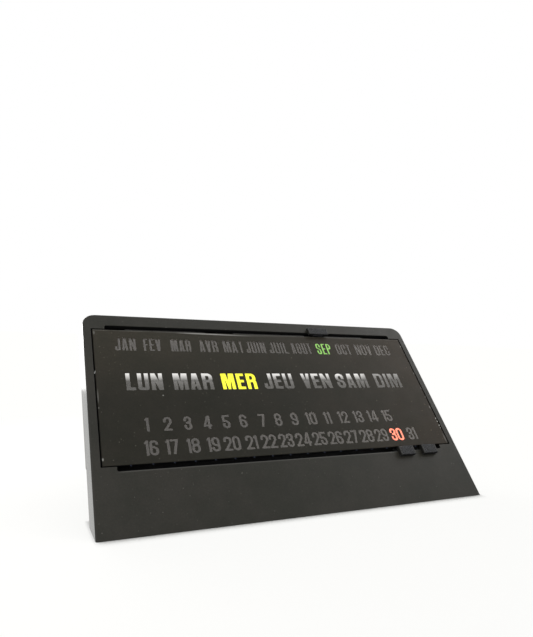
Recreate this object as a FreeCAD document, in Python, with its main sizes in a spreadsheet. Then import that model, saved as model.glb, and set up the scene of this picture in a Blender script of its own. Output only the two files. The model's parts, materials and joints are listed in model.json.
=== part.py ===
import FreeCAD, Part
import Sketcher
import os
import re

# Perpetual desk calendar: a leaning slab case with see-through lettering in four rows.
# Slides behind the rows carry flags, and the word in front of a flag lights up.
#
# Every piece but the leg is drawn in the frame of the face: X across it, Y up along it and
# Z straight out of it, with the lower front edge at Y = 0, Z = 0. A depth is a distance
# behind the face, so it is a negative Z. The finished piece is then leaned back on the table.

# Driving sizes, in millimetres and degrees
SIZES = {
    # Case
    "face_width": 140.0,
    "face_height": 81.0,
    "face_angle": 50.0,
    "case_depth": 9.0,
    "corner_radius": 4.5,
    "edge_radius": 0.5,
    "front_wall": 2.0,
    "side_wall": 1.8,
    # Panel, by its distances from the sides, the top and the foot of the face
    "panel_side": 3.2,
    "panel_drop": 7.0,
    "panel_foot": 22.05,
    "panel_gap": 0.5,
    "film_thickness": 0.2,
    "plate_thickness": 1.4,
    "slot_height": 2.1,
    "slot_inset_left": 7.4,
    "slot_inset_right": 8.3,
    "slot_round": 0.6,
    # First column from the left edge of the face, last column from its right edge, how
    # many there are, and the one that is set, counted from 0
    "month_first": 14.2,
    "month_last": 14.92,
    "month_columns": 12,
    "month_set": 8,
    "weekday_first": 19.15,
    "weekday_last": 19.03,
    "weekday_columns": 7,
    "weekday_set": 2,
    "date_first": 18.5,
    "date_last": 19.05,
    "date_columns": 16,
    "date_set": 14,
    "park_distance": 10.7,
    # Row centres: months below the top of the panel, dates above its foot, and weekdays
    # this far above the middle of the space that is left. Then the windows' heights
    "month_drop": 6.2,
    "weekday_lift": 0.6,
    "early_date_rise": 13.5,
    "late_date_rise": 5.2,
    "month_window": 7.0,
    "weekday_window": 8.4,
    "date_window": 6.6,
    # Flags and the pads that carry them
    "month_pad": 9.3,
    "weekday_pad": 16.2,
    "date_pad": 6.6,
    "pad_gap": 0.3,
    "flag_thickness": 0.15,
    "flag_gap": 0.1,
    "flag_margin": 0.1,
    # Slides
    "slide_gap": 0.1,
    "slide_thickness": 1.2,
    "base_drop": 2.15,
    "spring_height": 0.8,
    "spring_thickness": 0.2,
    "spring_radius": 6.0,
    "spring_width": 3.0,
    "spring_gap": 0.05,
    # Tabs
    "tab_proud": 1.6,
    "tab_gap": 0.25,
    "neck_width": 4.4,
    "neck_lift": 0.2,
    "neck_gap": 0.3,
    "merge": 0.2,
    "month_tab_width": 9.3,
    "month_tab_lap": 1.6,
    "month_tab_lift": 0.1,
    "date_tab_width": 6.7,
    "date_tab_lap": 2.1,
    "tab_cover": 1.3,
    "groove_width": 0.3,
    "groove_depth": 0.25,
    "groove_pitch": 0.7,
    "tab_round": 0.2,
    # Weekday slide, which runs behind the carrier and comes out of the top wall
    "weekday_tab_width": 9.0,
    "weekday_tab_height": 2.9,
    "weekday_tab_depth": 2.6,
    "weekday_neck_depth": 1.5,
    "weekday_neck_width": 5.2,
    "weekday_slot_gap": 0.2,
    "weekday_carriage": 12.0,
    "weekday_carriage_height": 4.0,
    "weekday_arm": 7.0,
    "weekday_arm_thickness": 1.0,
    "stem_height": 5.0,
    "stem_gap": 0.5,
    "pad_thickness": 1.0,
    # Carrier
    "carrier_thickness": 1.0,
    "rib_width": 1.4,
    "guide_gap": 0.15,
    "ledge_lap": 2.9,
    "stake_radius": 0.8,
    "stake_gap": 0.05,
    "stake_inset": 6.0,
    # Index strips and notches
    "strip_height": 1.1,
    "strip_thickness": 1.4,
    "strip_end": 2.5,
    "strip_end_right": 1.25,
    "weekday_strip_height": 2.4,
    "weekday_strip_thickness": 0.8,
    "weekday_strip_drop": 6.8,
    "notch_depth": 0.35,
    "nose_width": 0.8,
    "nose_gap": 0.05,
    # Back cover, behind the room that the weekday slide's arm needs
    "index_room": 1.15,
    "cover_thickness": 1.6,
    "cover_gap": 0.15,
    "slab_thickness": 1.7,
    "slab_bottom": 25.0,
    "slab_drop": 5.0,
    "slab_radius": 2.0,
    "pocket_floor": 0.1,
    "pocket_head": 3.2,
    # Screws and their bosses
    "boss_radius": 2.0,
    "boss_gap": 0.6,
    "screw_radius": 0.9,
    "screw_gap": 0.05,
    "head_radius": 1.8,
    "head_height": 1.0,
    "head_gap": 0.2,
    "head_seat": 0.5,
    "screw_length": 5.0,
    "drive_length": 2.34,
    "drive_width": 0.5,
    "drive_depth": 0.5,
    "top_screw_inset": 5.5,
    "low_screw_inset": 10.0,
    # Stand leg and its hinge
    "leg_angle": 64.5,
    "leg_width": 39.6,
    "leg_thickness": 1.6,
    "leg_gap": 0.2,
    "leg_rib_width": 2.0,
    "leg_rib_height": 0.8,
    "hinge_drop": 19.0,
    "barrel_radius": 1.7,
    "barrel_gap": 0.3,
    "pin_radius": 1.0,
    "pin_run": 0.06,
    "pin_press": 0.02,
    "ear_width": 3.0,
    "ear_gap": 0.3,
    "stop_gap": 0.08,
    "heel_front": 0.5,
    "heel_back": 0.85,
}

# Places worked out from the sizes. Each may use the sizes and the other places.
PLACES = {
    # How far a cut runs past the face that it goes through
    "past": "1",
    "half_width": "face_width / 2",
    "left_edge": "0 - half_width",
    "foot_depth": "case_depth / sin(face_angle)",
    "inner_half": "half_width - side_wall",
    "inner_top": "face_height - side_wall",
    # The shell's and the cover's inner corners, which stay clear of the slab's top edge
    "inner_round": "min(corner_radius - side_wall; slab_drop - side_wall - 2 * cover_gap)",
    "panel_half": "half_width - panel_side",
    "panel_top": "face_height - panel_drop",
    "panel_bottom": "panel_foot",
    "slot_left": "left_edge + slot_inset_left",
    "slot_right": "half_width - slot_inset_right",
    "upper_slot_top": "panel_top + slot_height",
    "lower_slot_bottom": "panel_bottom - slot_height",
    "month_start": "left_edge + month_first",
    "month_end": "half_width - month_last",
    "month_pitch": "(month_end - month_start) / (month_columns - 1)",
    "month_x": "month_start + month_set * month_pitch",
    "weekday_start": "left_edge + weekday_first",
    "weekday_end": "half_width - weekday_last",
    "weekday_pitch": "(weekday_end - weekday_start) / (weekday_columns - 1)",
    "weekday_x": "weekday_start + weekday_set * weekday_pitch",
    "date_start": "left_edge + date_first",
    "date_end": "half_width - date_last",
    "date_pitch": "(date_end - date_start) / (date_columns - 1)",
    "date_x": "date_start + date_set * date_pitch",
    "parked_x": "date_x + park_distance",
    "month_y": "panel_top - month_drop",
    "early_y": "panel_bottom + early_date_rise",
    "late_y": "panel_bottom + late_date_rise",
    "weekday_low": "early_y + date_window / 2",
    "weekday_high": "month_y - month_window / 2",
    "weekday_y": "(weekday_low + weekday_high) / 2 + weekday_lift",
    "weekday_strip_place": "month_y - weekday_strip_drop",
    "neck_height": "slot_height - neck_lift - neck_gap",
    # The month slide's base runs up to its strip, and the dates' down to the carrier's rib
    "month_base_top": "inner_top - strip_height - guide_gap",
    "date_base_foot": "lower_slot_bottom - base_drop",
    "carrier_foot": "date_base_foot - guide_gap - rib_width",
    "slab_top": "face_height - slab_drop",
    "hinge_place": "slab_top - hinge_drop",
    "top_screw_x": "half_width - top_screw_inset",
    "top_screw_y": "(panel_top + inner_top) / 2",
    "low_screw_x": "half_width - low_screw_inset",
    "low_screw_y": "carrier_foot - boss_gap - boss_radius",
    # Depths behind the face
    "plate_back": "film_thickness + plate_thickness",
    "flag_front": "film_thickness + flag_gap",
    "pad_front": "flag_front + flag_thickness",
    "slide_front": "front_wall + slide_gap",
    "slide_back": "slide_front + slide_thickness",
    "carrier_front": "slide_back + spring_height",
    "carrier_back": "carrier_front + carrier_thickness",
    "arm_front": "carrier_back + guide_gap",
    "arm_back": "arm_front + weekday_arm_thickness",
    "cover_front": "max(case_depth - cover_thickness; arm_back + index_room)",
    "cover_back": "cover_front + cover_thickness",
    "slab_back": "case_depth + slab_thickness",
    "pocket_depth": "cover_back + pocket_floor",
    "hinge_height": "barrel_radius + barrel_gap",
    "hinge_depth": "pocket_depth + hinge_height",
    "weekday_slot_depth": "arm_front",
    "neck_front": "weekday_slot_depth + weekday_slot_gap",
    "neck_back": "neck_front + weekday_neck_depth",
    # The row frame's origin lies in the middle of the case's foot
    "lean_shift": "0 - foot_depth / 2",
    "hinge_y": "hinge_place * cos(face_angle) + hinge_depth * sin(face_angle) + lean_shift",
    "hinge_z": "hinge_place * sin(face_angle) - hinge_depth * cos(face_angle)",
    "leg_turn": "180 - leg_angle",
    "leg_reach": "hinge_z / sin(leg_angle) + leg_thickness",
}

# Side of the box that cuts along a plane, and the difference that counts as none
FAR = 200.0
TINY = 0.01
document = FreeCAD.newDocument("desk_calendar")
pieces = []


def bind(text):
    """Writes each size as its cell's alias and each place as the sizes it comes from."""
    def word(found):
        name = found.group(0)
        if name in PLACES:
            return "(" + bind(PLACES[name]) + ")"
        return "Sizes." + name if name in SIZES else name
    return re.sub(r"[a-z_]+", word, str(text))


def make_sheet():
    sheet = document.addObject("Spreadsheet::Sheet", "Sizes")
    for row, (name, value) in enumerate(SIZES.items(), start=1):
        sheet.set(f"A{row}", name)
        sheet.set(f"B{row}", str(value))
        sheet.setAlias(f"B{row}", name)
    document.recompute()


def lean(piece):
    """Leans a piece, drawn in the face's frame, back on the table."""
    piece.Placement = FreeCAD.Placement(FreeCAD.Vector(), FreeCAD.Rotation(FreeCAD.Vector(1, 0, 0), 1))
    piece.setExpression("Placement.Rotation.Angle", bind("face_angle"))
    piece.setExpression("Placement.Base.y", bind("lean_shift"))


def new_body(name, leaned=True):
    body = document.addObject("PartDesign::Body", name)
    body.Label = name
    if leaned:
        lean(body)
    pieces.append(body)
    return body


def put(feature, corner):
    for letter, text in zip("xyz", corner):
        feature.setExpression("Placement.Base." + letter, bind(text))


def block(body, name, across, up, out, cut=False):
    """A box from low to high along each axis, added to a body or cut from it."""
    kind = "PartDesign::SubtractiveBox" if cut else "PartDesign::AdditiveBox"
    feature = body.newObject(kind, name)
    for size, (low, high) in zip(("Length", "Width", "Height"), (across, up, out)):
        feature.setExpression(size, bind(f"({high}) - ({low})"))
    put(feature, (across[0], up[0], out[0]))
    return feature


def rod(body, name, radius, start, length, along_x=False, cut=False):
    """A cylinder from its start point, along X or straight out of the face."""
    kind = "PartDesign::SubtractiveCylinder" if cut else "PartDesign::AdditiveCylinder"
    feature = body.newObject(kind, name)
    if along_x:
        feature.Placement.Rotation = FreeCAD.Rotation(FreeCAD.Vector(0, 1, 0), 90)
    feature.setExpression("Radius", bind(radius))
    feature.setExpression("Height", bind(length))
    put(feature, start)
    return feature


def rounded(body, name, radius, test):
    """A fillet on the edges of the body's last feature that pass the test."""
    document.recompute()
    base = body.Tip
    names = [f"Edge{number}" for number, edge in enumerate(base.Shape.Edges, start=1) if test(edge)]
    feature = body.newObject("PartDesign::Fillet", name)
    feature.Base = (base, names)
    feature.setExpression("Radius", bind(radius))
    return feature


def flat_box(edge):
    box = edge.BoundBox
    return box.XLength, box.YLength, box.ZLength


def stands_out(edge, x, y):
    """True for an edge that runs straight out of the face at |X| = x and Y = y."""
    wide, tall, deep = flat_box(edge)
    centre = edge.BoundBox.Center
    return wide < TINY and tall < TINY < deep and abs(abs(centre.x) - x) < TINY and abs(centre.y - y) < TINY


def repeat(body, name, original, pitch, count):
    """Repeats a feature along X."""
    document.recompute()
    pattern = body.newObject("PartDesign::LinearPattern", name)
    pattern.Originals = [original]
    across = [part for part in body.Origin.OriginFeatures if part.Role == "X_Axis"][0]
    pattern.Direction = (across, [""])
    pattern.setExpression("Occurrences", bind(count))
    pattern.setExpression("Length", bind(f"({pitch}) * (({count}) - 1)"))
    body.Tip = pattern
    return pattern


def cut_below(body, name, turn, level):
    """Cuts a body that is turned about X off along a level plane, given from its origin."""
    tool = body.newObject("PartDesign::SubtractiveBox", name)
    tool.Length = tool.Width = tool.Height = FAR
    tool.Placement.Rotation = FreeCAD.Rotation(FreeCAD.Vector(-1, 0, 0), 1)
    tool.setExpression("Placement.Rotation.Angle", bind(turn))
    put(tool, (-FAR / 2,
               f"({level} - {FAR}) * sin({turn}) - {FAR / 2} * cos({turn})",
               f"({level} - {FAR}) * cos({turn}) + {FAR / 2} * sin({turn})"))


def notch(body, name, x, y, deep, out):
    """A square groove set on its corner, along Z, with its middle at X = x and Y = y."""
    tool = body.newObject("PartDesign::SubtractiveBox", name)
    tool.Placement.Rotation = FreeCAD.Rotation(FreeCAD.Vector(0, 0, 1), 45)
    for size in ("Length", "Width"):
        tool.setExpression(size, bind(f"{deep} * sqrt(2)"))
    tool.setExpression("Height", bind(f"({out[1]}) - ({out[0]})"))
    put(tool, (x, f"({y}) - ({deep})", out[0]))
    return tool


def case_front():
    body = new_body("case_front")
    block(body, "shell", ("left_edge", "half_width"), (0, "face_height"), ("0 - case_depth", 0))
    width = SIZES["face_width"] / 2
    height = SIZES["face_height"]
    rounded(body, "corners", "corner_radius", lambda edge: stands_out(edge, width, height))
    rounded(body, "front_edges", "edge_radius",
            lambda edge: flat_box(edge)[2] < TINY and abs(edge.BoundBox.ZMax) < TINY < edge.BoundBox.YMax)
    cavity(body)
    block(body, "panel_recess", ("0 - panel_half - panel_gap", "panel_half + panel_gap"),
          ("panel_bottom - panel_gap", "panel_top + panel_gap"), ("0 - front_wall - past", "past"), cut=True)
    block(body, "lower_slot", ("slot_left", "slot_right"),
          ("lower_slot_bottom", "panel_bottom"), ("0 - front_wall - past", "past"), cut=True)
    block(body, "upper_slot", ("slot_left", "slot_right"),
          ("panel_top", "upper_slot_top"), ("0 - front_wall - past", "past"), cut=True)
    rounded(body, "slot_ends", "slot_round", is_slot_corner)
    reach = "weekday_neck_width / 2 + stem_gap"
    block(body, "weekday_slot", (f"weekday_start - ({reach})", f"weekday_end + {reach}"),
          ("inner_top - past", "face_height + past"),
          ("0 - neck_back - weekday_slot_gap", "0 - weekday_slot_depth"), cut=True)
    for side, low, high in (("left", "0 - inner_half", "ledge_lap - panel_half"),
                            ("right", "panel_half - ledge_lap", "inner_half")):
        block(body, side + "_ledge", (low, high), ("panel_bottom", "panel_top"),
              ("0 - carrier_front", "0 - plate_back"))
    for name, x, y in stakes():
        rod(body, name, "stake_radius", (x, y, "0 - carrier_back - stake_radius / 2"),
            "carrier_thickness + stake_radius / 2")
    for name, x, y in screw_places():
        rod(body, name + "_boss", "boss_radius", (x, y, "0 - cover_front"), "cover_front - front_wall")
        rod(body, name + "_pilot", "screw_radius + screw_gap", (x, y, "0 - cover_front"),
            "screw_length", cut=True)


def is_slot_corner(edge):
    """The four outer corners of the two slots, away from the panel."""
    wide, tall, deep = flat_box(edge)
    if wide > TINY or tall > TINY or deep < TINY:
        return False
    half = SIZES["face_width"] / 2
    ends = (SIZES["slot_inset_left"] - half, half - SIZES["slot_inset_right"])
    top = SIZES["face_height"] - SIZES["panel_drop"]
    levels = (top + SIZES["slot_height"], SIZES["panel_foot"] - SIZES["slot_height"])
    centre = edge.BoundBox.Center
    return (min(abs(centre.x - end) for end in ends) < TINY
            and min(abs(centre.y - level) for level in levels) < TINY)


def cavity(body):
    """Hollows the shell from behind and leaves a foot wall along the table."""
    sketch = body.newObject("Sketcher::SketchObject", "cavity_profile")
    plane = [part for part in body.Origin.OriginFeatures if part.Role == "YZ_Plane"][0]
    sketch.AttachmentSupport = [(plane, "")]
    sketch.MapMode = "FlatFace"
    foot = "(side_wall + ({}) * cos(face_angle)) / sin(face_angle)"
    back = "case_depth + past"
    corners = ((foot.format("front_wall"), "0 - front_wall"), ("inner_top", "0 - front_wall"),
               ("inner_top", f"0 - ({back})"), (foot.format(back), f"0 - ({back})"))
    points = [[float(sketch.evalExpression(bind(text))) for text in corner] for corner in corners]
    for index, start in enumerate(points):
        end = points[(index + 1) % len(points)]
        sketch.addGeometry(Part.LineSegment(FreeCAD.Vector(*start), FreeCAD.Vector(*end)))
    for index, (along, out) in enumerate(corners):
        sketch.addConstraint(Sketcher.Constraint("Coincident", index, 2, (index + 1) % len(corners), 1))
        for kind, text, place in zip(("DistanceX", "DistanceY"), (along, out), points[index]):
            number = sketch.addConstraint(Sketcher.Constraint(kind, -1, 1, index, 1, place))
            sketch.setExpression(f"Constraints[{number}]", bind(text))
    pocket = body.newObject("PartDesign::Pocket", "cavity")
    pocket.Profile = sketch
    pocket.Midplane = True
    pocket.setExpression("Length", bind("2 * inner_half"))
    inner = SIZES["face_width"] / 2 - SIZES["side_wall"]
    top = SIZES["face_height"] - SIZES["side_wall"]
    cut_below(body, "foot", "face_angle", "0")
    rounded(body, "cavity_corners", "inner_round", lambda edge: stands_out(edge, inner, top))


def stakes():
    """Names and places of the stakes that hold the carrier on the ledges."""
    x = "(panel_half - ledge_lap + inner_half) / 2"
    for side, sign in (("left", "0 - "), ("right", "")):
        for level, y in (("low", "panel_bottom + stake_inset"), ("high", "panel_top - stake_inset")):
            yield f"{side}_{level}_stake", sign + x, y


def screw_places():
    yield "top_left", "0 - top_screw_x", "top_screw_y"
    yield "top_right", "top_screw_x", "top_screw_y"
    yield "low_left", "0 - low_screw_x", "low_screw_y"
    yield "low_right", "low_screw_x", "low_screw_y"


def legend_film():
    body = new_body("legend_film")
    block(body, "sheet", ("0 - panel_half", "panel_half"), ("panel_bottom", "panel_top"),
          ("0 - film_thickness", 0))


def window_plate():
    body = new_body("window_plate")
    block(body, "plate", ("0 - panel_half", "panel_half"), ("panel_bottom", "panel_top"),
          ("0 - plate_back", "0 - film_thickness"))
    far = "slot_right - neck_width / 2"
    rows = (("month_window", "month_y", "month_start", "month_end", "month_pad", "month_window"),
            ("weekday_window", "weekday_y", "weekday_start", "weekday_end", "weekday_pad", "weekday_window"),
            ("early_window", "early_y", "date_start", far, "date_pad", "date_window"),
            ("late_window", "late_y", "date_start - date_pitch", "date_end", "date_pad", "date_window"))
    for name, y, first, last, pad, height in rows:
        block(body, name, (f"{first} - {pad} / 2 - pad_gap", f"{last} + {pad} / 2 + pad_gap"),
              (f"{y} - {height} / 2", f"{y} + {height} / 2"),
              ("0 - plate_back - past", "past - film_thickness"), cut=True)
    detent = notch(body, "detent", "date_start - date_pitch", "panel_bottom", "notch_depth",
                   ("0 - plate_back - past", "past - film_thickness"))
    repeat(body, "detents", detent, "date_pitch", "date_columns + 1")


def flag(name, x, y, width, height):
    body = new_body(name)
    block(body, "label", (f"{x} - {width} / 2 + flag_margin", f"{x} + {width} / 2 - flag_margin"),
          (f"{y} - {height} / 2 + pad_gap + flag_margin", f"{y} + {height} / 2 - pad_gap - flag_margin"),
          ("0 - pad_front", "0 - flag_front"))


def grooves(body, x, width, up, front, count):
    """Grip grooves that run up a tab's outer face."""
    first = f"{x} - ({count} - 1) * groove_pitch / 2 - groove_width / 2"
    groove = block(body, "groove", (first, f"({first}) + groove_width"), up,
                   (f"({front}) - groove_depth", f"({front}) + past"), cut=True)
    repeat(body, "grooves", groove, "groove_pitch", count)


def front_slide(name, x, row, height, pad, tab, upper):
    """A slide behind the front wall: base, pad behind its row, neck through the slot, and tab."""
    body = new_body(name)
    pad_low, pad_high = f"{row} - {height} / 2 + pad_gap", f"{row} + {height} / 2 - pad_gap"
    if upper:
        neck = ("upper_slot_top - neck_lift - neck_height", "upper_slot_top - neck_lift")
        base = (f"{row} - {height} / 2", "month_base_top")
        cap = (f"({neck[0]}) + month_tab_lift", "upper_slot_top + month_tab_lap")
    else:
        neck = ("lower_slot_bottom + neck_lift", "lower_slot_bottom + neck_lift + neck_height")
        base = ("date_base_foot", f"{row} + {height} / 2 - guide_gap")
        cap = ("lower_slot_bottom - date_tab_lap", "lower_slot_bottom + tab_cover")
    wide = (f"{x} - {pad} / 2", f"{x} + {pad} / 2")
    block(body, "base", wide, base, ("0 - slide_back", "0 - slide_front"))
    block(body, "pad", wide, (pad_low, pad_high), ("0 - slide_back", "0 - pad_front"))
    narrow = (f"{x} - neck_width / 2", f"{x} + neck_width / 2")
    block(body, "neck", narrow, neck, ("0 - slide_back", "tab_gap + merge"))
    block(body, "tab", (f"{x} - {tab} / 2", f"{x} + {tab} / 2"), cap, ("tab_gap", "tab_proud"))
    rounded(body, "tab_edges", "tab_round", is_tab_edge)
    count = round((SIZES[tab] - SIZES["groove_width"]) / SIZES["groove_pitch"])
    grooves(body, x, tab, (f"({cap[0]}) - past", f"({cap[1]}) + past"), "tab_proud", count - 1)
    if upper:
        block(body, "nose", (f"{x} - nose_width / 2", f"{x} + nose_width / 2"),
              (base[1], "inner_top - strip_height - nose_gap"), ("0 - slide_back", "0 - slide_front"))
    return body


def is_tab_edge(edge):
    """The edges round a tab's outer face."""
    wide, tall, deep = flat_box(edge)
    return deep < TINY and abs(edge.BoundBox.ZMax - SIZES["tab_proud"]) < TINY


def weekday_slide():
    body = new_body("weekday_slide")
    x = "weekday_x"
    arm = (f"{x} - weekday_arm / 2", f"{x} + weekday_arm / 2")
    half_pad = "(weekday_window / 2 - pad_gap)"
    block(body, "carriage", (f"{x} - weekday_carriage / 2", f"{x} + weekday_carriage / 2"),
          ("inner_top - guide_gap - weekday_carriage_height", "inner_top - guide_gap"),
          ("0 - neck_back", "0 - arm_front"))
    block(body, "arm", arm, ("weekday_y - stem_height / 2", "inner_top - guide_gap"),
          ("0 - arm_back", "0 - arm_front"))
    block(body, "stem", arm, ("weekday_y - stem_height / 2", "weekday_y + stem_height / 2"),
          ("0 - arm_back", "0 - pad_front"))
    block(body, "pad", (f"{x} - weekday_pad / 2", f"{x} + weekday_pad / 2"),
          (f"weekday_y - {half_pad}", f"weekday_y + {half_pad}"),
          ("0 - pad_front - pad_thickness", "0 - pad_front"))
    block(body, "neck", (f"{x} - weekday_neck_width / 2", f"{x} + weekday_neck_width / 2"),
          ("inner_top - guide_gap - past", "face_height + tab_gap + merge"),
          ("0 - neck_back", "0 - neck_front"))
    middle = "(neck_front + neck_back) / 2"
    block(body, "tab", (f"{x} - weekday_tab_width / 2", f"{x} + weekday_tab_width / 2"),
          ("face_height + tab_gap", "face_height + tab_gap + weekday_tab_height"),
          (f"0 - {middle} - weekday_tab_depth / 2", f"0 - {middle} + weekday_tab_depth / 2"))
    top = "face_height + tab_gap + weekday_tab_height"
    count = round((SIZES["weekday_tab_width"] - SIZES["groove_width"]) / SIZES["groove_pitch"]) - 1
    first = f"{x} - ({count} - 1) * groove_pitch / 2 - groove_width / 2"
    groove = block(body, "groove", (first, f"({first}) + groove_width"),
                   (f"{top} - groove_depth", f"{top} + past"), ("0 - case_depth", 0), cut=True)
    repeat(body, "grooves", groove, "groove_pitch", count)
    half_strip = "weekday_strip_height / 2"
    block(body, "nose", (f"{x} - nose_width / 2", f"{x} + nose_width / 2"),
          (f"weekday_strip_place - {half_strip}", f"weekday_strip_place + {half_strip}"),
          ("0 - cover_front + weekday_strip_thickness + nose_gap", "0 - arm_back + merge"))


def leaf_spring(name, x, y, front, back):
    """A bowed leaf whose ends press on the slide in front and whose crown presses behind."""
    outer = document.addObject("Part::Cylinder", name + "_outer")
    inner = document.addObject("Part::Cylinder", name + "_inner")
    hollow = "spring_radius - spring_thickness"
    for tool, radius, extra in ((outer, "spring_radius", "0"), (inner, hollow, "past")):
        tool.Placement.Rotation = FreeCAD.Rotation(FreeCAD.Vector(1, 0, 0), -90)
        tool.setExpression("Radius", bind(radius))
        tool.setExpression("Height", bind(f"spring_width + 2 * {extra}"))
        put(tool, (x, f"{y} - spring_width / 2 - {extra}", f"0 - ({back}) + spring_gap + spring_radius"))
    ring = document.addObject("Part::Cut", name + "_ring")
    ring.Base, ring.Tool = outer, inner
    slab = document.addObject("Part::Box", name + "_slab")
    slab.setExpression("Length", bind("2 * spring_radius"))
    slab.setExpression("Width", bind("spring_width"))
    slab.setExpression("Height", bind(f"({back}) - ({front}) - 2 * spring_gap"))
    put(slab, (f"{x} - spring_radius", f"{y} - spring_width / 2", f"0 - ({back}) + spring_gap"))
    leaf = document.addObject("Part::Common", name)
    leaf.Base, leaf.Tool = ring, slab
    leaf.Label = name
    lean(leaf)
    pieces.append(leaf)


def index_strips():
    month = new_body("month_index_strip")
    low = "inner_top - strip_height"
    block(month, "strip", ("slot_left + strip_end", "slot_right - strip_end_right"), (low, "inner_top"),
          ("0 - front_wall - strip_thickness", "0 - front_wall"))
    tooth = notch(month, "notch", "month_start", low, "notch_depth",
                  ("0 - front_wall - strip_thickness - past", "0 - front_wall + past"))
    repeat(month, "notches", tooth, "month_pitch", "month_columns")

    weekday = new_body("weekday_index_strip")
    half_strip = "weekday_strip_height / 2"
    block(weekday, "strip", ("weekday_start - strip_end", "weekday_end + strip_end"),
          (f"weekday_strip_place - {half_strip}", f"weekday_strip_place + {half_strip}"),
          ("0 - cover_front", "0 - cover_front + weekday_strip_thickness"))
    tooth = weekday.newObject("PartDesign::SubtractiveBox", "notch")
    tooth.Placement.Rotation = FreeCAD.Rotation(FreeCAD.Vector(0, 1, 0), 45)
    for size in ("Length", "Height"):
        tooth.setExpression(size, bind("notch_depth * sqrt(2)"))
    tooth.setExpression("Width", bind("weekday_strip_height + 2 * past"))
    put(tooth, ("weekday_start - notch_depth", "weekday_strip_place - weekday_strip_height / 2 - past",
                "0 - cover_front + weekday_strip_thickness"))
    repeat(weekday, "notches", tooth, "weekday_pitch", "weekday_columns")


def slide_carrier():
    body = new_body("slide_carrier")
    block(body, "plate", ("0 - inner_half + guide_gap", "inner_half - guide_gap"),
          ("carrier_foot", "panel_top"), ("0 - carrier_back", "0 - carrier_front"))
    inner = ("ledge_lap + guide_gap - panel_half", "panel_half - ledge_lap - guide_gap")
    ribs = (("month_rib", "month_y - month_window / 2 - guide_gap - rib_width"),
            ("date_rib", "early_y + date_window / 2 + rib_width"))
    for name, low in ribs:
        block(body, name, inner, (low, f"({low}) + rib_width"), ("0 - carrier_front", "0 - plate_back"))
    block(body, "foot_rib", inner, ("carrier_foot", "date_base_foot - guide_gap"),
          ("0 - carrier_front", "0 - front_wall"))
    block(body, "stem_opening",
          ("weekday_start - weekday_arm / 2 - stem_gap", "weekday_end + weekday_arm / 2 + stem_gap"),
          ("weekday_y - stem_height / 2 - stem_gap", "weekday_y + stem_height / 2 + stem_gap"),
          ("0 - carrier_back - past", "0 - carrier_front + past"), cut=True)
    for name, x, y in stakes():
        rod(body, name + "_hole", "stake_radius + stake_gap", (x, y, "0 - carrier_back - past"),
            "carrier_thickness + 2 * past", cut=True)


def back_cover():
    """A plate that closes the shell from behind, and a slab on it that reaches the side walls."""
    body = new_body("back_cover")
    block(body, "slab", ("left_edge", "half_width"), ("slab_bottom", "slab_top"),
          ("0 - slab_back", "0 - case_depth"))
    half = SIZES["face_width"] / 2
    levels = (SIZES["slab_bottom"], SIZES["face_height"] - SIZES["slab_drop"])
    rounded(body, "slab_corners", "slab_radius",
            lambda edge: any(stands_out(edge, half, level) for level in levels))
    back = -SIZES["case_depth"] - SIZES["slab_thickness"]
    rounded(body, "slab_edges", "edge_radius",
            lambda edge: flat_box(edge)[2] < TINY and abs(edge.BoundBox.ZMin - back) < TINY)
    foot = "(side_wall + cover_back * cos(face_angle)) / sin(face_angle)"
    block(body, "plate", ("0 - inner_half + cover_gap", "inner_half - cover_gap"),
          (f"{foot} + cover_gap", "inner_top - cover_gap"), ("0 - cover_back", "0 - cover_front"))
    inner = half - SIZES["side_wall"] - SIZES["cover_gap"]
    top = SIZES["face_height"] - SIZES["side_wall"] - SIZES["cover_gap"]
    rounded(body, "plate_corners", "inner_round", lambda edge: stands_out(edge, inner, top))
    block(body, "leg_pocket", ("0 - leg_width / 2 - ear_gap", "leg_width / 2 + ear_gap"),
          ("slab_bottom - past", "hinge_place + pocket_head"),
          ("0 - slab_back - past", "0 - pocket_depth"), cut=True)
    inner_ear = "leg_width / 2 + ear_gap"
    for name, low in (("left_ear", f"0 - ({inner_ear}) - ear_width"), ("right_ear", inner_ear)):
        block(body, name, (low, f"{low} + ear_width"),
              ("hinge_place - barrel_radius", "hinge_place + barrel_radius"),
              ("0 - hinge_depth", "0 - case_depth"))
        rod(body, name + "_end", "barrel_radius", (low, "hinge_place", "0 - hinge_depth"),
            "ear_width", along_x=True)
        rod(body, name + "_bore", "pin_radius + pin_press",
            (f"{low} - past", "hinge_place", "0 - hinge_depth"), "ear_width + past", along_x=True, cut=True)
    for name, x, y in screw_places():
        rod(body, name + "_hole", "screw_radius + screw_gap", (x, y, "0 - cover_back - past"),
            "cover_thickness + 2 * past", cut=True)
        rod(body, name + "_seat", "head_radius + head_gap", (x, y, "0 - slab_back - past"),
            "slab_back + past - cover_front - head_seat", cut=True)


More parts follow.
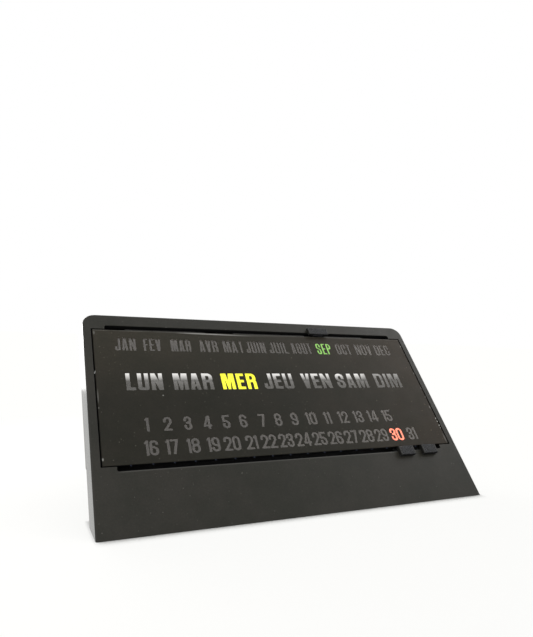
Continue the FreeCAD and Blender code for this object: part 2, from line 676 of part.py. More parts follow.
def cover_screws():
    screws = []
    for name, x, y in screw_places():
        parts = []
        seat = "cover_front + head_seat"
        for part, radius, start, length in (
                ("head", "head_radius", f"0 - ({seat}) - head_height", "head_height"),
                ("shank", "screw_radius", f"0 - ({seat})", "head_seat + screw_length - screw_gap")):
            rod_part = document.addObject("Part::Cylinder", f"{name}_{part}")
            rod_part.setExpression("Radius", bind(radius))
            rod_part.setExpression("Height", bind(length))
            put(rod_part, (x, y, start))
            parts.append(rod_part)
        screw = document.addObject("Part::MultiFuse", name + "_screw")
        screw.Shapes = parts
        for turn in (0, 1):
            size = ("drive_length", "drive_width")
            drive = document.addObject("Part::Box", f"{name}_drive_{turn}")
            drive.setExpression("Length", bind(size[turn]))
            drive.setExpression("Width", bind(size[1 - turn]))
            drive.setExpression("Height", bind("drive_depth + past"))
            put(drive, (f"{x} - ({size[turn]}) / 2", f"{y} - ({size[1 - turn]}) / 2",
                        f"0 - ({seat}) - head_height - past"))
            cut = document.addObject("Part::Cut", f"{name}_cut_{turn}")
            cut.Base, cut.Tool = screw, drive
            screw = cut
        screws.append(screw)
    group = document.addObject("Part::Compound", "cover_screws")
    group.Links = screws
    group.Label = "cover_screws"
    lean(group)
    pieces.append(group)


def stand_leg():
    """The leg, drawn with its hinge at the origin and hanging along -Y, then swung open."""
    body = new_body("stand_leg", leaned=False)
    body.Placement = FreeCAD.Placement(FreeCAD.Vector(), FreeCAD.Rotation(FreeCAD.Vector(1, 0, 0), 1))
    body.setExpression("Placement.Rotation.Angle", bind("leg_turn"))
    put(body, (0, "hinge_y", "hinge_z"))
    wide = ("0 - leg_width / 2", "leg_width / 2")
    inner = "hinge_height - leg_gap"
    block(body, "plate", wide, ("0 - leg_reach", 0), (f"({inner}) - leg_thickness", inner))
    rod(body, "barrel", "barrel_radius", ("0 - leg_width / 2", 0, 0), "leg_width", along_x=True)
    heel = "(hinge_height - stop_gap - heel_front * cos(leg_turn - face_angle)) / sin(leg_turn - face_angle)"
    block(body, "heel", wide, (0, heel), ("0 - heel_back", "heel_front"))
    rib = "leg_rib_width"
    for name, low in (("left_rib", "0 - leg_width / 2"), ("right_rib", f"leg_width / 2 - {rib}")):
        block(body, name, (low, f"{low} + {rib}"), ("0 - leg_reach", 0),
              (f"({inner}) - leg_thickness - leg_rib_height", f"({inner}) - leg_thickness"))
    rod(body, "bore", "pin_radius + pin_run", ("0 - leg_width / 2 - past", 0, 0), "leg_width + 2 * past",
        along_x=True, cut=True)
    cut_below(body, "tip", "leg_turn", "0 - hinge_z")


def stand_hinge_pin():
    body = new_body("stand_hinge_pin")
    length = "leg_width + 2 * ear_gap + 2 * ear_width"
    rod(body, "pin", "pin_radius", (f"0 - ({length}) / 2", "hinge_place", "0 - hinge_depth"),
        length, along_x=True)


def check_and_export():
    document.recompute()
    for item in document.Objects:
        if "Invalid" in item.State or "Error" in item.State:
            raise RuntimeError(f"{item.Label} failed: {item.State}")
    os.makedirs("parts", exist_ok=True)
    for piece in pieces:
        shape = piece.Shape
        if shape.isNull() or not shape.isValid() or not shape.Solids:
            raise RuntimeError(f"{piece.Label} has no valid solid")
        shape.exportStep(f"parts/{piece.Label}.step")
        print(piece.Label, len(shape.Solids), round(shape.Volume, 2))


make_sheet()
case_front()
legend_film()
window_plate()
slide_carrier()
index_strips()
front_slide("month_slide", "month_x", "month_y", "month_window", "month_pad", "month_tab_width", True)
flag("month_flag", "month_x", "month_y", "month_pad", "month_window")
leaf_spring("month_spring", "month_x", "month_y", "slide_back", "carrier_front")
weekday_slide()
flag("weekday_flag", "weekday_x", "weekday_y", "weekday_pad", "weekday_window")
leaf_spring("weekday_spring", "weekday_x", "month_y", "arm_back", "cover_front")
for slide, x, row in (("date_16_31", "date_x", "late_y"), ("date_1_15", "parked_x", "early_y")):
    front_slide(slide + "_slide", x, row, "date_window", "date_pad", "date_tab_width", False)
    flag(slide + "_flag", x, row, "date_pad", "date_window")
    leaf_spring(slide + "_spring", x, "late_y", "slide_back", "carrier_front")
back_cover()
cover_screws()
stand_leg()
stand_hinge_pin()
check_and_export()
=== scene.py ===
import json
import math

import bmesh
import bpy
from mathutils import Euler, Matrix, Vector
from mathutils.geometry import delaunay_2d_cdt


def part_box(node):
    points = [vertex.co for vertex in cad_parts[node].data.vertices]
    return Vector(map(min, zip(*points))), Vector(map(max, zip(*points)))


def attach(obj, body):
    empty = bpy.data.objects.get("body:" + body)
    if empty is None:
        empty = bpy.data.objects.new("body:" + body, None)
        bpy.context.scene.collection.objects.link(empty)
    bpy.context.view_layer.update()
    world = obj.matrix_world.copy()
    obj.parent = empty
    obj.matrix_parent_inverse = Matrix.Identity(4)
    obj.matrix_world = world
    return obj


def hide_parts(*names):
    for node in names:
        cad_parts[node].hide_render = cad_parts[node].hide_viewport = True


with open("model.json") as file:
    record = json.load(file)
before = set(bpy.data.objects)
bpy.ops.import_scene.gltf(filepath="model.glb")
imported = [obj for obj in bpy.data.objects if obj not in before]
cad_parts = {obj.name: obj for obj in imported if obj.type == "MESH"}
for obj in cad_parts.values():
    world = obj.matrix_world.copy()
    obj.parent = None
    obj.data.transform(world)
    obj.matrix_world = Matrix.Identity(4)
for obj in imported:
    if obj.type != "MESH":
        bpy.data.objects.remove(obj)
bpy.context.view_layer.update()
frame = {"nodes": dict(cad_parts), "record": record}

# The face of the case has a frame of its own: X across, Y up the face and Z out of it, in
# millimetres, with the origin in the middle of the lower front edge, as the solids have it.
MM = 0.001
FACE_ANGLE = math.radians(50)
FACE_HALF = 70.0
FACE_HEIGHT = 81.0
FACE_UP = (0.0, math.cos(FACE_ANGLE), math.sin(FACE_ANGLE))
ACROSS = (1, 0, 0)

# Camera, as the photograph's perspective gives it
IMAGE_HEIGHT = 637
FOCAL_PIXELS = 554.1
SENSOR = 36.0
CAMERA_PLACE = (-0.09483, -0.15996, 0.05880)
CAMERA_AZIMUTH = math.radians(25.32)
CAMERA_PITCH = math.radians(1.20)
CAMERA_ROLL = math.radians(2.23)
CAMERA_NEAR = 0.005

# The film: its thickness, the chamfer of its front edge, how many steps its left and right
# edges have, how far they are cut back, and their waves (size, pace, share of the phase).
# Then the depths between which the clear layer of the letters lies, the distance at which two
# points count as one, and the digits to which a point of the outline is recognised.
FILM_THICKNESS = 0.2
FILM_CHAMFER = 0.12
BORDER_STEPS = 40
EDGE_CUT = 0.07
EDGE_WAVES = ((0.05, 0.9, 1), (0.03, 2.3, 2))
LEFT_PHASE = 2.0
RIGHT_PHASE = 0.4
CLEAR_FRONT = -0.02
CLEAR_BACK = -0.16
SAME_POINT = 1e-5
RIM_DIGITS = 3

# Rows of lettering: place of the row's middle below the top of the face, height of its
# capitals, upright and level stroke, width of the letters, and the gap between two letters
ROWS = {
    "months": {"drop": 13.2, "height": 5.5, "upright": 0.78, "level": 0.66, "width": 0.70, "gap": 0.5},
    "weekdays": {"drop": 29.05, "height": 6.95, "upright": 1.42, "level": 1.22, "width": 1.0, "gap": 0.8},
    "early": {"drop": 45.6, "height": 5.1, "upright": 0.90, "level": 0.78, "width": 0.98, "gap": 0.3},
    "late": {"drop": 53.9, "height": 5.25, "upright": 0.90, "level": 0.78, "width": 0.96, "gap": 0.2},
}
# Words, each with its middle and its width across the face. The last letter of MAI stands
# further off than the others, so it is placed by itself.
MONTHS = (
    ("JAN", -55.85, 7.3), ("FEV", -46.3, 6.35), ("MAR", -35.7, 7.6), ("AVR", -24.95, 7.25),
    ("MA", -16.25, 5.7), ("I", -11.75, 0.78), ("JUIN", -5.5, 8.35), ("JUIL", 4.45, 8.4),
    ("AOUT", 14.85, 9.1), ("SEP", 25.55, 7.05), ("OCT", 35.15, 7.25), ("NOV", 45.2, 8.1),
    ("DEC", 55.1, 7.5),
)
WEEKDAYS = (
    ("LUN", -50.85, 12.6), ("MAR", -33.6, 14.55), ("MER", -16.15, 13.7), ("JEU", -0.1, 12.45),
    ("VEN", 16.6, 12.95), ("SAM", 33.1, 14.8), ("DIM", 50.9, 12.95),
)
# Dates: the first one's middle and the pitch, and how far some of them stand off it
EARLY_DATES = range(1, 16)
EARLY_COLUMNS = (-52.0, 6.79)
EARLY_SHIFTS = {6: -0.45, 8: -0.5, 9: -0.75, 10: -0.5, 11: -0.35, 12: -0.15, 13: -0.15, 14: -0.3,
                15: -0.25}
LATE_DATES = range(16, 32)
LATE_COLUMNS = (-51.5, 6.83)
LATE_SHIFTS = {17: -0.2, 20: -0.25, 22: -0.4, 23: -0.5, 24: -0.55, 25: -0.65, 26: -0.75, 27: -0.8,
               28: -0.75, 29: -0.8, 30: -0.35, 31: 0.1}

# Steps in a quarter turn of a letter's stroke, and how round its corners are: fully, in the
# bowls of P and R, and in the squarer letters
ARC_STEPS = 5
ROUND = 1.0
BULGE = 0.7
SOFT = 0.38
SHORTEST_STEP = 1e-4

# Colours that more than one material uses. The pale one is the colour of painted glows, the cold one that
# of painted glints, and the unlit one that of painted shade.
WHITE = (1, 1, 1, 1)
PALE_GLOW = (1.0, 0.985, 0.955, 1)
COLD_GLINT = (0.6, 0.7, 1.0, 1)
DUST = (0.45, 0.43, 0.38, 1)
UNLIT = (0.0012, 0.0012, 0.0014, 1)

# Places on the face where a material changes, and the width of a sharp change
STEP = 0.1
RECESS_HALF = 67.4
RIGHT_GAP = 66.7
SLOT_HALF = 62.0
LIP_LOW = 19.5
LIP_HIGH = 20.0
FOOT_WALL_TOP = 4.0
INNER_TOP = 79.3
NOTCH_TOP = 23.5
DATES_TOP = 44.0
CARRIER_HALF = 61.0
OPENING_LOW = 52.0
OPENING_HIGH = 60.0
LAST_WEEKDAY = 40.5
# Depths, from the front of the face: its walls count as inside under the first one and as
# outside over the second. Then the cover's inner face, and the front of the slides' base.
INSIDE_DEPTH = -0.35
SURFACE_DEPTH = -0.12
COVER_DEPTH = -7.7
SLIDE_BASE_DEPTH = -1.6

# The values that most of a noise lies between
MOST = (0.3, 0.7)

# Part of the face behind which the backing of the windows is pale, and the strength of its glow, which is
# painted light
BACKING_LOW = 25.4
BACKING_HIGH = 75.0
BACKING_GLOW = 0.07

# Marks on the film's front, partly chipped cut edges and flecks and partly painted glints on those edges:
# place across and up the face, half width, half height, strength
FILM_MARKS = (
    (-66.55, 46.4, 0.28, 3.2, 0.16), (-66.55, 42.0, 0.22, 0.40, 0.25), (-66.35, 72.6, 0.40, 1.0, 0.16),
    (-66.50, 24.1, 0.30, 0.60, 0.45), (-45.25, 46.3, 0.28, 0.28, 0.5), (-56.70, 51.4, 0.22, 0.22, 0.3),
    (66.50, 33.2, 0.30, 0.34, 1.0), (66.52, 31.8, 0.30, 0.34, 1.0), (66.55, 30.0, 0.30, 0.38, 1.0),
    (66.50, 28.8, 0.25, 0.25, 0.8), (66.55, 70.2, 0.40, 0.60, 0.5), (66.20, 38.6, 0.30, 0.90, 0.3),
    (66.50, 43.5, 0.24, 0.30, 0.5), (66.50, 48.0, 0.24, 0.50, 0.3), (66.50, 55.5, 0.24, 0.60, 0.3),
    (66.30, 24.2, 0.60, 2.40, 0.12),
)
# Strength of the painted glare on the film's bent top edge
GLARE_STRENGTH = 0.45

# The floor: its size and the two distances between which it turns to pure white, in metres, the
# share of that white near the object, and the reach of the contact shadow in millimetres
FLOOR_SIZE = 6
FLOOR_NEAR = 0.09
FLOOR_FAR = 0.22
FLOOR_WHITE = 0.82
SHADOW_REACH = 5
# Strength of the world: white to the camera and through the film, and as a light
WORLD_SEEN = 1.0
WORLD_LIGHT = 0.55
# Soft boxes: place, size and power. They are all turned to the middle of the object.
LAMP_TARGET = (0, 0, 0.03)
LAMPS = {
    "key_softbox": ((-0.50, -0.50, 0.95), (0.9, 0.9), 3.2),
    "overhead_softbox": ((0.35, 0.40, 1.0), (0.8, 0.8), 2.6),
    "right_softbox": ((0.75, 0.00, 0.68), (0.5, 0.5), 1.7),
    "back_left_softbox": ((-0.25, 0.85, 0.22), (0.6, 0.4), 4.0),
    "low_left_softbox": ((-0.14, 0.23, 0.10), (0.26, 0.19), 0.26),
}


def face_matrix():
    """Takes a point of the face's frame, in millimetres, to the row frame."""
    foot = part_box("case_front")[0].y
    return (Matrix.Translation((0, foot, 0)) @ Matrix.Rotation(FACE_ANGLE, 4, "X")
            @ Matrix.Scale(MM, 4))


FACE = face_matrix()


def hook(*points):
    """A stroke of even thickness along a line whose corners are rounded where marked."""
    return "hook", points


def flat(*corners):
    """A piece with straight sides, in shares of the letter's box, with stroke widths added."""
    return "flat", corners


# A letter's width in shares of its height, and its strokes. A hook's points run from 0 to 1
# along the strokes' centre lines. A flat piece's corner is (share of the width, upright
# strokes added, share of the height, level strokes added). A stroke never crosses itself.
STEM = hook((0, 0), (0, 1))
BOWL = hook((0, 1), (1, 1, BULGE), (1, 0.52, BULGE), (0, 0.52))
RING = (hook((0.5, 1), (0, 1, ROUND), (0, 0, ROUND), (0.5, 0)),
        hook((0.5, 1), (1, 1, ROUND), (1, 0, ROUND), (0.5, 0)))
GLYPHS = {
    "A": (0.535, (flat((0, 0, 0, 0), (0, 1, 0, 0), (0.5, 0.02, 0.66, 0), (0.5, 0.02, 1, 0),
                       (0.5, -0.65, 1, 0)),
                  flat((1, -1, 0, 0), (1, 0, 0, 0), (0.5, 0.65, 1, 0), (0.5, -0.02, 1, 0),
                       (0.5, -0.02, 0.66, 0)),
                  flat((0.2, 0, 0.18, 0), (0.8, 0, 0.18, 0), (0.7, 0, 0.18, 0.9), (0.3, 0, 0.18, 0.9)))),
    "C": (0.53, (hook((1, 0.66), (1, 1, ROUND), (0, 1, ROUND), (0, 0, ROUND), (1, 0, ROUND),
                      (1, 0.34)),)),
    "D": (0.55, (STEM, hook((0, 1), (1, 1, SOFT), (1, 0, SOFT), (0, 0)))),
    "E": (0.45, (STEM, hook((0, 1), (1, 1)), hook((0, 0.51), (0.88, 0.51)), hook((0, 0), (1, 0)))),
    "F": (0.42, (STEM, hook((0, 1), (1, 1)), hook((0, 0.5), (0.8, 0.5)))),
    "I": (0.2, (STEM,)),
    "J": (0.48, (hook((1, 1), (1, 0, SOFT), (0, 0, SOFT), (0, 0.22)),)),
    "L": (0.45, (STEM, hook((0, 0), (1, 0)))),
    "M": (0.735, (STEM, hook((1, 0), (1, 1)),
                  flat((0.5, -0.35, 0, 0), (0.5, 0.38, 0, 0), (0, 1.5, 1, 0), (0, 0.65, 1, 0)),
                  flat((0.5, -0.38, 0, 0), (0.5, 0.35, 0, 0), (1, -0.65, 1, 0), (1, -1.5, 1, 0)))),
    "N": (0.59, (STEM, hook((1, 0), (1, 1)),
                 flat((1, -1.08, 0, 0), (1, 0, 0, 0), (0, 1.08, 1, 0), (0, 0, 1, 0)))),
    "O": (0.56, RING),
    "P": (0.54, (STEM, BOWL)),
    "R": (0.565, (STEM, BOWL, hook((0.4, 0.52), (1, 0.52, SOFT), (1, 0)))),
    "S": (0.535, (hook((1, 0.72), (1, 1, ROUND), (0, 1, ROUND), (0, 0.52, ROUND), (1, 0.48, ROUND),
                       (1, 0, ROUND), (0, 0, ROUND), (0, 0.28)),)),
    "T": (0.48, (hook((0, 1), (1, 1)), hook((0.5, 0), (0.5, 1)))),
    "U": (0.545, (hook((0, 1), (0, 0, SOFT), (1, 0, SOFT), (1, 1)),)),
    "V": (0.515, (flat((0, 0, 1, 0), (0.5, -0.6, 0, 0), (0.5, 0.4, 0, 0), (0, 1, 1, 0)),
                  flat((1, -1, 1, 0), (0.5, -0.4, 0, 0), (0.5, 0.6, 0, 0), (1, 0, 1, 0)))),
    "0": (0.57, RING),
    "1": (0.27, (hook((1, 0), (1, 1)),
                 flat((0, 0, 0.76, 0), (1, -0.5, 0.80, 0), (1, -0.5, 1, 0), (0, 0, 0.88, 0)))),
    "2": (0.57, (hook((0, 0.72), (0, 1, ROUND), (1, 1, ROUND), (1, 0.62)), hook((0, 0), (1, 0)),
                 flat((0, 0, 0, 0.4), (0, 1.1, 0, 0.4), (1, 0, 0.6, 0), (1, -1, 0.6, 0)))),
    "3": (0.54, (hook((0, 0.74), (0, 1, ROUND), (1, 1, ROUND), (1, 0.53, ROUND), (0.4, 0.53)),
                 hook((0.4, 0.53), (1, 0.53, ROUND), (1, 0, ROUND), (0, 0, ROUND), (0, 0.26)))),
    "4": (0.60, (hook((0.78, 0), (0.78, 1)), hook((0, 0.21), (1, 0.21)),
                 flat((0, 0, 0.2, 0), (0, 0.85, 0.2, 0), (0.74, -0.10, 1, 0), (0.74, -0.9, 1, 0)))),
    "5": (0.54, (hook((0, 1), (1, 1)), hook((0, 0.56), (0, 1)),
                 hook((0, 0.58), (1, 0.58, ROUND), (1, 0, ROUND), (0, 0, ROUND), (0, 0.26)))),
    "6": (0.57, (hook((1, 0.80), (1, 1, ROUND), (0, 1, ROUND), (0, 0, ROUND), (0.5, 0)),
                 hook((0.5, 0), (1, 0, ROUND), (1, 0.57, ROUND), (0.1, 0.57)))),
    "7": (0.54, (hook((0, 1), (1, 1)),
                 flat((0.22, 0, 0, 0), (0.22, 1.05, 0, 0), (1, 0, 1, -0.5), (1, -1.05, 1, -0.5)))),
    "8": (0.57, (hook((0.5, 1), (0, 1, ROUND), (0, 0.53, ROUND), (0.5, 0.53)),
                 hook((0.5, 1), (1, 1, ROUND), (1, 0.53, ROUND), (0.5, 0.53)),
                 hook((0.5, 0.53), (0, 0.53, ROUND), (0, 0, ROUND), (0.5, 0)),
                 hook((0.5, 0.53), (1, 0.53, ROUND), (1, 0, ROUND), (0.5, 0)))),
    "9": (0.57, (hook((0, 0.20), (0, 0, ROUND), (1, 0, ROUND), (1, 1, ROUND), (0.5, 1)),
                 hook((0.5, 1), (0, 1, ROUND), (0, 0.43, ROUND), (0.9, 0.43)))),
}


def rounded_line(points):
    """The stroke's centre line, with arcs in place of the corners that are marked."""
    places = [Vector(point[:2]) for point in points]
    line = [places[0]]
    for index in range(1, len(points) - 1):
        corner = places[index]
        if len(points[index]) < 3:
            line.append(corner)
            continue
        before = places[index - 1] - corner
        after = places[index + 1] - corner
        reach_before = before.length * (1.0 if index == 1 else 0.5)
        reach_after = after.length * (1.0 if index == len(points) - 2 else 0.5)
        reach = min(reach_before, reach_after) * points[index][2]
        start = before.normalized() * reach
        end = after.normalized() * reach
        for step in range(ARC_STEPS + 1):
            turn = step / ARC_STEPS * math.pi / 2
            line.append(corner + start * (1 - math.sin(turn)) + end * (1 - math.cos(turn)))
    line.append(places[-1])
    clean = [line[0]]
    for point in line[1:]:
        if (point - clean[-1]).length > SHORTEST_STEP:
            clean.append(point)
    return clean


def stroke_outline(line, half):
    """The outline of a stroke that runs half its thickness past both its ends."""
    line = list(line)
    line[0] = line[0] + (line[0] - line[1]).normalized() * half
    line[-1] = line[-1] + (line[-1] - line[-2]).normalized() * half
    left, right = [], []
    for index, point in enumerate(line):
        sides = []
        if index > 0:
            sides.append((point - line[index - 1]).normalized())
        if index < len(line) - 1:
            sides.append((line[index + 1] - point).normalized())
        normals = [Vector((-side.y, side.x)) for side in sides]
        mean = sum(normals, Vector((0, 0))).normalized()
        offset = mean * (half / mean.dot(normals[0]))
        left.append(point + offset)
        right.append(point - offset)
    return left + right[::-1]


def glyph_width(letter, row):
    """A letter's width before its word is stretched. The I is just one stroke wide."""
    return row["upright"] if letter == "I" else GLYPHS[letter][0] * row["height"] * row["width"]


def glyph_outlines(letter, row, width):
    """The outlines of a letter's strokes, with its corner at the origin."""
    height, upright, level = row["height"], row["upright"], row["level"]
    stretch = upright / level
    across = width / stretch - level
    up = height - level
    half = level / 2
    outlines = []
    for kind, points in GLYPHS[letter][1]:
        if kind == "hook":
            placed = [(x * across + half, y * up + half, *turn) for x, y, *turn in points]
            outline = stroke_outline(rounded_line(placed), half)
            outlines.append([Vector((point.x * stretch, point.y)) for point in outline])
        else:
            outlines.append([Vector((a * width + b * upright, c * height + d * level))
                             for a, b, c, d in points])
    return outlines


def word_outlines(word, x, length, row):
    """The outlines of a word that is centred on x. Its letters are stretched to fill its
    length, and keep their own widths when no length is given."""
    widths = [glyph_width(letter, row) for letter in word]
    gaps = row["gap"] * (len(word) - 1)
    if length is None:
        length = sum(widths) + gaps
    single = row["upright"] * word.count("I")
    plain = sum(widths) - single
    stretch = (length - (gaps + single)) / plain if plain else 1
    left = x - length / 2
    foot = FACE_HEIGHT - row["drop"] - row["height"] / 2
    placed = []
    for letter, width in zip(word, widths):
        if letter != "I":
            width *= stretch
        for outline in glyph_outlines(letter, row, width):
            placed.append([point + Vector((left, foot)) for point in outline])
        left += width + row["gap"]
    return placed


def dates(days, columns, shifts):
    """Dates as words, each with its middle and no set length."""
    first, pitch = columns
    return [(str(day), first + index * pitch + shifts.get(day, 0), None)
            for index, day in enumerate(days)]


def lettering():
    """All outlines, each with the group of letters that it belongs to."""
    rows = (("months", "small", MONTHS), ("weekdays", "large", WEEKDAYS),
            ("early", "small", dates(EARLY_DATES, EARLY_COLUMNS, EARLY_SHIFTS)),
            ("late", "small", dates(LATE_DATES, LATE_COLUMNS, LATE_SHIFTS)))
    return [(outline, group) for row, group, words in rows for word, x, length in words
            for outline in word_outlines(word, x, length, ROWS[row])]


def uneven(y, phase):
    """How far one of the film's side edges is cut back at a height."""
    waves = (size * math.sin(pace * y + share * phase) for size, pace, share in EDGE_WAVES)
    return sum(waves, EDGE_CUT)


def film_border(inset):
    """The film's outline. Its left and right edges are cut a little unevenly."""
    low, high = (FACE.inverted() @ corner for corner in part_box("legend_film"))
    rises = [low.y + (high.y - low.y) * step / BORDER_STEPS for step in range(BORDER_STEPS + 1)]
    heights = [min(max(rise, low.y + inset), high.y - inset) for rise in rises]
    right = [Vector((high.x - inset - uneven(y, RIGHT_PHASE), y)) for y in heights]
    left = [Vector((low.x + inset + uneven(y, LEFT_PHASE), y)) for y in heights]
    return right + left[::-1]


def anticlockwise(outline):
    area = sum(a.cross(b) for a, b in zip(outline, outline[1:] + outline[:1]))
    return outline if area > 0 else outline[::-1]


def split_film():
    """The film's front as triangles, each filed under the film or a group of letters."""
    outlines = [(film_border(0), "film"), (film_border(FILM_CHAMFER), "film")]
    outlines += lettering()
    points, faces = [], []
    for outline, _ in outlines:
        faces.append(list(range(len(points), len(points) + len(outline))))
        points.extend(anticlockwise(outline))
    places, _, triangles, _, _, sources = delaunay_2d_cdt(points, [], faces, 1, SAME_POINT, True)
    groups = {"film": [], "small": [], "large": []}
    for triangle, source in zip(triangles, sources):
        names = {outlines[index][1] for index in source}
        group = "large" if "large" in names else "small" if "small" in names else "film"
        groups[group].append(triangle)
    return places, groups


def slab_mesh(name, places, triangles, front, back, lowered=()):
    """A closed slab between two depths over triangles. The lowered points make a chamfer."""
    mesh = bmesh.new()
    used = sorted({index for triangle in triangles for index in triangle})
    level = {index: front - FILM_CHAMFER if index in lowered else front for index in used}
    top = {index: mesh.verts.new((places[index].x, places[index].y, level[index])) for index in used}
    bottom = {index: mesh.verts.new((places[index].x, places[index].y, back)) for index in used}
    sides = {}
    for triangle in triangles:
        corners = list(triangle)
        a, b, c = (places[index] for index in corners[:3])
        if (b - a).cross(c - a) < 0:
            corners.reverse()
        mesh.faces.new([top[index] for index in corners])
        mesh.faces.new([bottom[index] for index in reversed(corners)])
        for here, there in zip(corners, corners[1:] + corners[:1]):
            sides[(here, there)] = True
    for here, there in sides:
        if (there, here) not in sides:
            mesh.faces.new((top[there], top[here], bottom[here], bottom[there]))
    mesh.transform(FACE)
    bmesh.ops.recalc_face_normals(mesh, faces=mesh.faces)
    data = bpy.data.meshes.new(name)
    mesh.to_mesh(data)
    mesh.free()
    piece = bpy.data.objects.new(name, data)
    bpy.context.scene.collection.objects.link(piece)
    return piece


class Nodes:
    """A material's nodes, with short calls to add and join them."""

    def __init__(self, name):
        self.material = bpy.data.materials.new(name)
        self.material.use_nodes = True
        self.tree = self.material.node_tree
        self.shader = self.tree.nodes["Principled BSDF"]
        self.output = self.tree.nodes["Material Output"]

    def add(self, kind, inputs=None, **settings):
        node = self.tree.nodes.new("ShaderNode" + kind)
        for key, value in settings.items():
            setattr(node, key, value)
        self.set(node, inputs or {})
        return node

    def set(self, node, inputs):
        for key, value in inputs.items():
            if isinstance(value, bpy.types.NodeSocket):
                self.tree.links.new(value, node.inputs[key])
            else:
                node.inputs[key].default_value = value

    def shade(self, inputs):
        """Sets inputs of the main shader."""
        self.set(self.shader, inputs)

    def joined(self, key):
        """What is joined to an input of the main shader."""
        return self.shader.inputs[key].links[0].from_socket

    def math(self, operation, first, second=0.0):
        return self.add("Math", {0: first, 1: second}, operation=operation).outputs[0]

    def product(self, *shares):
        total = shares[0]
        for share in shares[1:]:
            total = self.math("MULTIPLY", total, share)
        return total

    def place(self):
        return self.add("TexCoord").outputs["Object"]

    def face_place(self):
        """Distances in millimetres across the face, up it and out of it."""
        foot = FACE.translation.y
        turned = self.add("VectorRotate", {"Vector": self.place(), "Angle": -FACE_ANGLE,
                                           "Center": (0, foot, 0)}, rotation_type="X_AXIS")
        moved = self.add("VectorMath", {0: turned.outputs[0], 1: (0, -foot, 0)}, operation="ADD")
        scaled = self.add("VectorMath", {0: moved.outputs[0], "Scale": 1 / MM}, operation="SCALE")
        split = self.add("SeparateXYZ", {0: scaled.outputs[0]})
        return split.outputs[0], split.outputs[1], split.outputs[2]

    def along(self, first, second):
        """How far two directions agree, from -1 to 1."""
        return self.add("VectorMath", {0: first, 1: second}, operation="DOT_PRODUCT").outputs["Value"]

    def facing(self, direction):
        """How far the surface is turned towards a direction, from -1 to 1."""
        return self.along(self.add("TexCoord").outputs["Normal"], direction)

    def softened(self, radius):
        """The surface's direction with its edges rounded over a radius in millimetres."""
        return self.add("Bevel", {"Radius": radius * MM}, samples=6).outputs[0]

    def noise(self, size, detail=2.0, rough=0.5, vector=None):
        """Noise whose features are about size millimetres across."""
        inputs = {"Vector": vector or self.place(), "Scale": 1 / (size * MM), "Detail": detail,
                  "Roughness": rough}
        return self.add("TexNoise", inputs).outputs["Fac"]

    def ramp(self, value, low, high, out_low=0.0, out_high=1.0):
        """Goes from out_low to out_high while the value goes from low to high."""
        inputs = {"Value": value, "From Min": low, "From Max": high, "To Min": out_low,
                  "To Max": out_high}
        return self.add("MapRange", inputs, clamp=True).outputs["Result"]

    def fall(self, value, low, high):
        """Falls from 1 to 0 while the value goes from low to high."""
        return self.ramp(value, low, high, 1.0, 0.0)

    def within(self, value, half):
        """1 where a value's size is under half, and 0 past it."""
        return self.fall(self.math("ABSOLUTE", value), half, half + STEP)

    def mix(self, share, first, second):
        return self.add("Mix", {0: share, 6: first, 7: second}, data_type="RGBA").outputs[2]

    def tint(self, first, second):
        """Two colours multiplied."""
        node = self.add("Mix", {0: 1.0, 6: first, 7: second}, data_type="RGBA", blend_type="MULTIPLY")
        return node.outputs[2]

    def shaded(self, colour, value):
        return self.add("HueSaturation", {"Color": colour, "Value": value}).outputs[0]


def moulded(name, colour, tint, rough, grain=0.16, depth=0.012, edge=0.12, level=0.5, polish=0.0):
    """Moulded plastic with a fine grain, slow changes of tone, dust and softened edges.
    Its side walls, which left the mould with a pull, can be smoother than the rest."""
    nodes = Nodes(name)
    slow = nodes.ramp(nodes.noise(18, detail=5, rough=0.75), 0.38, 0.62)
    fine = nodes.ramp(nodes.noise(0.5, detail=3, rough=0.7), *MOST, 0.86, 1.14)
    plain = nodes.shaded(nodes.mix(slow, colour + (1,), tint + (1,)), fine)
    specks = nodes.ramp(nodes.noise(0.7, detail=1), 0.74, 0.80, 0.0, 0.16)
    wall = nodes.ramp(nodes.math("ABSOLUTE", nodes.facing(ACROSS)), 0.90, 0.98, 1.0, 1.0 - polish)
    grade = nodes.ramp(nodes.noise(6, detail=4, rough=0.6), *MOST, rough - 0.05, rough + 0.06)
    bump = nodes.add("Bump", {"Strength": nodes.math("MULTIPLY", wall, 0.35), "Distance": depth * MM,
                              "Height": nodes.noise(grain, rough=0.6), "Normal": nodes.softened(edge)})
    nodes.shade({"Base Color": nodes.mix(specks, plain, DUST), "Normal": bump.outputs[0],
                 "Roughness": nodes.math("MULTIPLY", grade, wall), "Specular IOR Level": level})
    return nodes


def metal(name, colour, rough):
    """Rolled or plated steel with fine lines along X."""
    nodes = Nodes(name)
    stretched = nodes.add("Mapping", {"Vector": nodes.place(), "Scale": (0.06, 1, 1)})
    lines = nodes.noise(0.12, rough=0.6, vector=stretched.outputs[0])
    darker = tuple(0.75 * part for part in colour)
    bump = nodes.add("Bump", {"Strength": 0.3, "Distance": 0.01 * MM, "Height": lines})
    nodes.shade({"Base Color": nodes.mix(nodes.ramp(lines, *MOST), colour + (1,), darker + (1,)),
                 "Roughness": nodes.ramp(lines, *MOST, rough - 0.06, rough + 0.08),
                 "Metallic": 1.0, "Normal": bump.outputs[0]})
    return nodes


def fluorescent(name, colour, glow):
    """Printed fluorescent colour, which looks brighter than the light on it: its glow is painted light,
    standing for the fluorescence and for the light that reaches the flags behind the film.
    """
    nodes = Nodes(name)
    grain = nodes.ramp(nodes.noise(0.3, detail=3, rough=0.6), *MOST, 0.9, 1.08)
    shade = nodes.shaded(colour + (1,), grain)
    # Painted light: the flag's glow
    nodes.shade({"Base Color": shade, "Emission Color": shade, "Emission Strength": glow,
                 "Roughness": 0.7})
    return nodes


